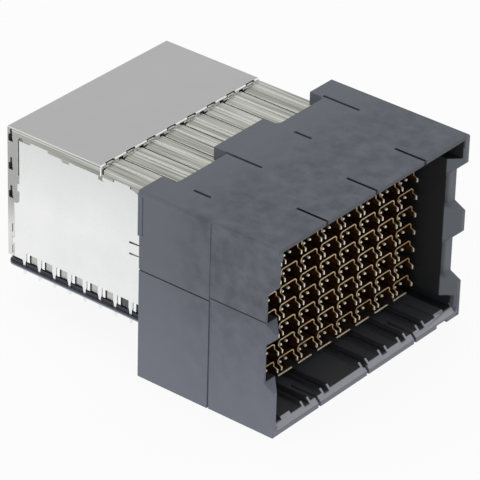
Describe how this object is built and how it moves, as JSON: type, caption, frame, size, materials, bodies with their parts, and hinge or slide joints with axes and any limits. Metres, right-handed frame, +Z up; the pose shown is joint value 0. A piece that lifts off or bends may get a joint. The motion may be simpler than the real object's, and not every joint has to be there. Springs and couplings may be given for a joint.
{
  "type": "right angle shielded backplane header",
  "caption": "Right-angle board header: moulded shroud, side-by-side shielded wafers, pin pairs under inverted-U ground shields, folded metal cover, press-fit tails.",
  "frame": {"origin": "on the mating face, in the middle of the columns, at the shroud's bottom edge", "axes": "+X across the columns, +Y from the mating face to the rear, +Z up from the board"},
  "size_m": [0.0442, 0.0534, 0.0304],
  "materials": {
    "shroud_plastic": "fine moulded matte",
    "cover_metal": "smooth satin sheet",
    "organizer_plastic": "fine moulded matte",
    "shell_metal": "satin plated",
    "plate_metal": "bright tin plate",
    "insulator_plastic": "fine moulded matte",
    "contact_gold": "gold plated",
    "shield_gold": "pale gold plated"
  },
  "bodies": {
    "root": {"header_housing": "shroud_plastic", "shield_cover": "cover_metal", "tail_organizer": "organizer_plastic", "wafer_shell_1": "shell_metal", "wafer_shell_2": "shell_metal", "wafer_shell_3": "shell_metal", "wafer_shell_4": "shell_metal", "wafer_shell_5": "shell_metal", "wafer_shell_6": "shell_metal", "wafer_shell_7": "shell_metal", "wafer_shell_8": "shell_metal", "ground_plate_1": "plate_metal", "ground_plate_2": "plate_metal", "ground_plate_3": "plate_metal", "ground_plate_4": "plate_metal", "ground_plate_5": "plate_metal", "ground_plate_6": "plate_metal", "ground_plate_7": "plate_metal", "ground_plate_8": "plate_metal", "pair_insulators_1": "insulator_plastic", "pair_insulators_2": "insulator_plastic", "pair_insulators_3": "insulator_plastic", "pair_insulators_4": "insulator_plastic", "pair_insulators_5": "insulator_plastic", "pair_insulators_6": "insulator_plastic", "pair_insulators_7": "insulator_plastic", "pair_insulators_8": "insulator_plastic", "signal_leads_1": "contact_gold", "signal_leads_2": "contact_gold", "signal_leads_3": "contact_gold", "signal_leads_4": "contact_gold", "signal_leads_5": "contact_gold", "signal_leads_6": "contact_gold", "signal_leads_7": "contact_gold", "signal_leads_8": "contact_gold", "pair_shields_1": "shield_gold", "pair_shields_2": "shield_gold", "pair_shields_3": "shield_gold", "pair_shields_4": "shield_gold", "pair_shields_5": "shield_gold", "pair_shields_6": "shield_gold", "pair_shields_7": "shield_gold", "pair_shields_8": "shield_gold", "ground_blade_1": "shield_gold", "ground_blade_2": "shield_gold", "ground_blade_3": "shield_gold", "ground_blade_4": "shield_gold", "ground_blade_5": "shield_gold", "ground_blade_6": "shield_gold", "ground_blade_7": "shield_gold", "ground_blade_8": "shield_gold"}
  },
  "joints": []
}
